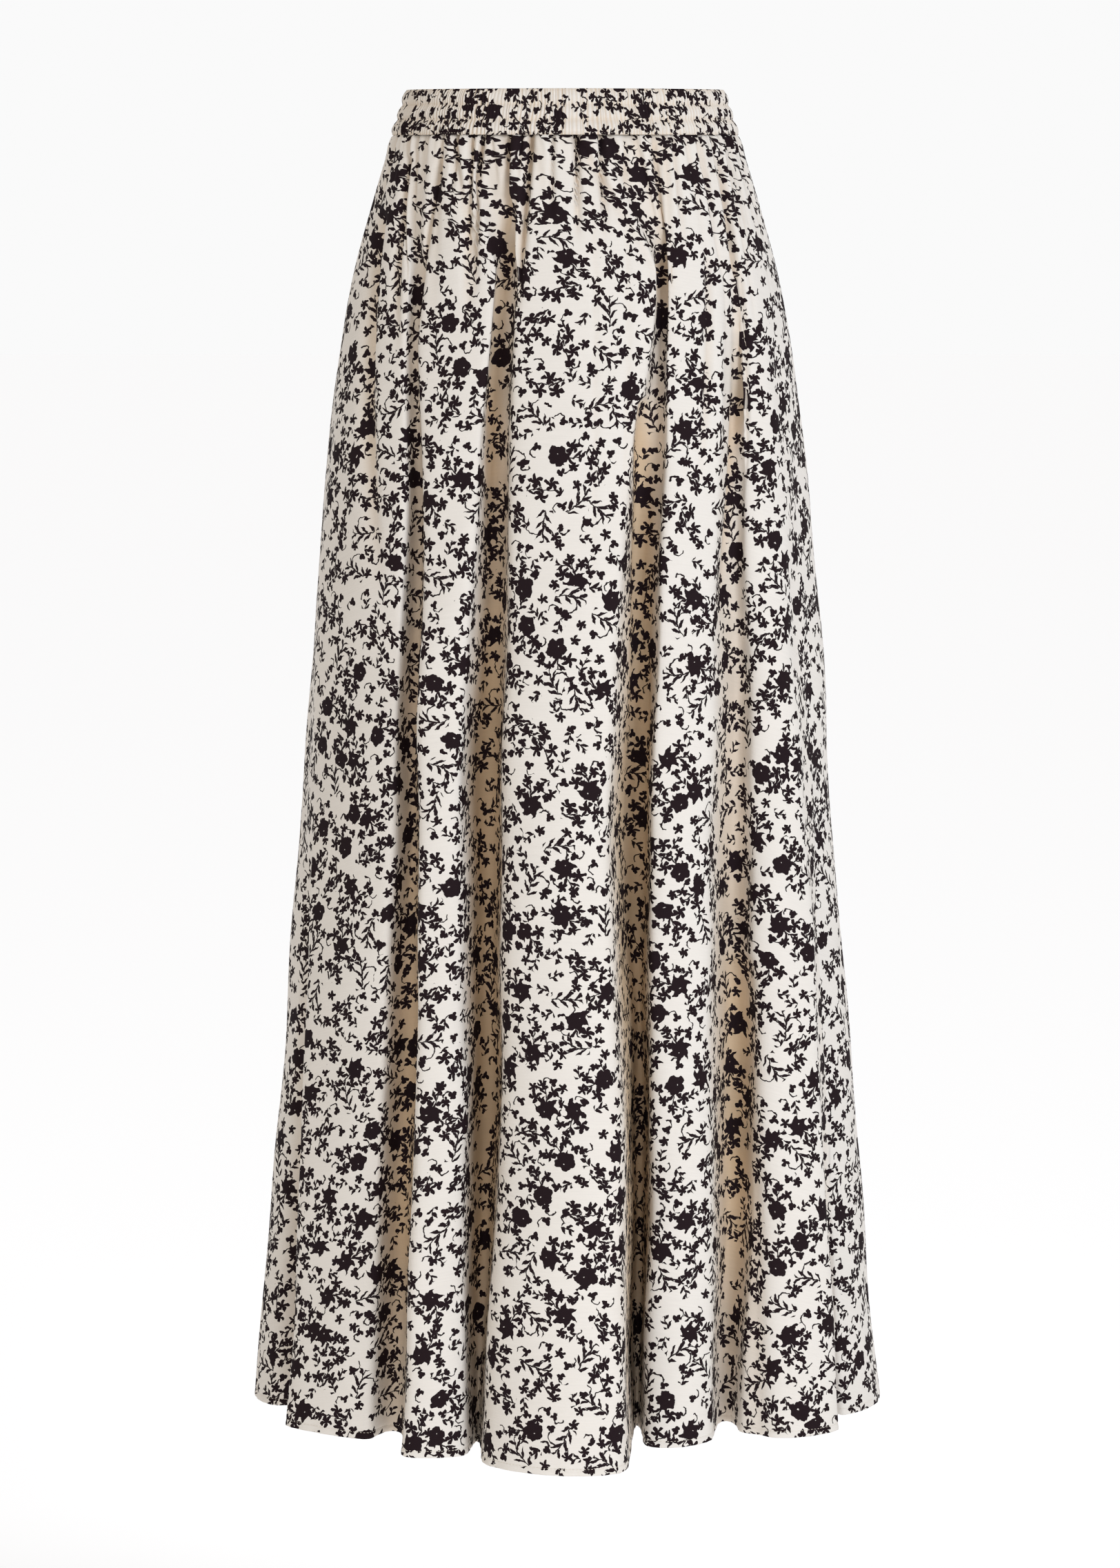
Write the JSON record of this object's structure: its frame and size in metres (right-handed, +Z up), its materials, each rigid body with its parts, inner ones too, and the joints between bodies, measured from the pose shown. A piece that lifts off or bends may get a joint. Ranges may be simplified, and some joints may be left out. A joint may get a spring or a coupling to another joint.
{
  "type": "maxi skirt",
  "caption": "Flared maxi skirt gathered into a cased elastic waistband, filled out as worn, in pale cloth with a small scattered dark floral print.",
  "frame": {"origin": "the middle of the waist, on the axis, half way up the waistband", "axes": "+Z up along the wearer's body, -Y to the wearer's front, +X to the side seen on the right from the front (the wearer's left)"},
  "size_m": [0.467, 0.4047, 0.964],
  "materials": {
    "printed_cloth": "matt printed viscose crepe",
    "cased_elastic": "matt printed cloth gathered over flat elastic"
  },
  "bodies": {
    "root": {"skirt_front": "printed_cloth", "skirt_back": "printed_cloth", "waistband_front": "cased_elastic", "waistband_back": "cased_elastic"}
  },
  "joints": []
}
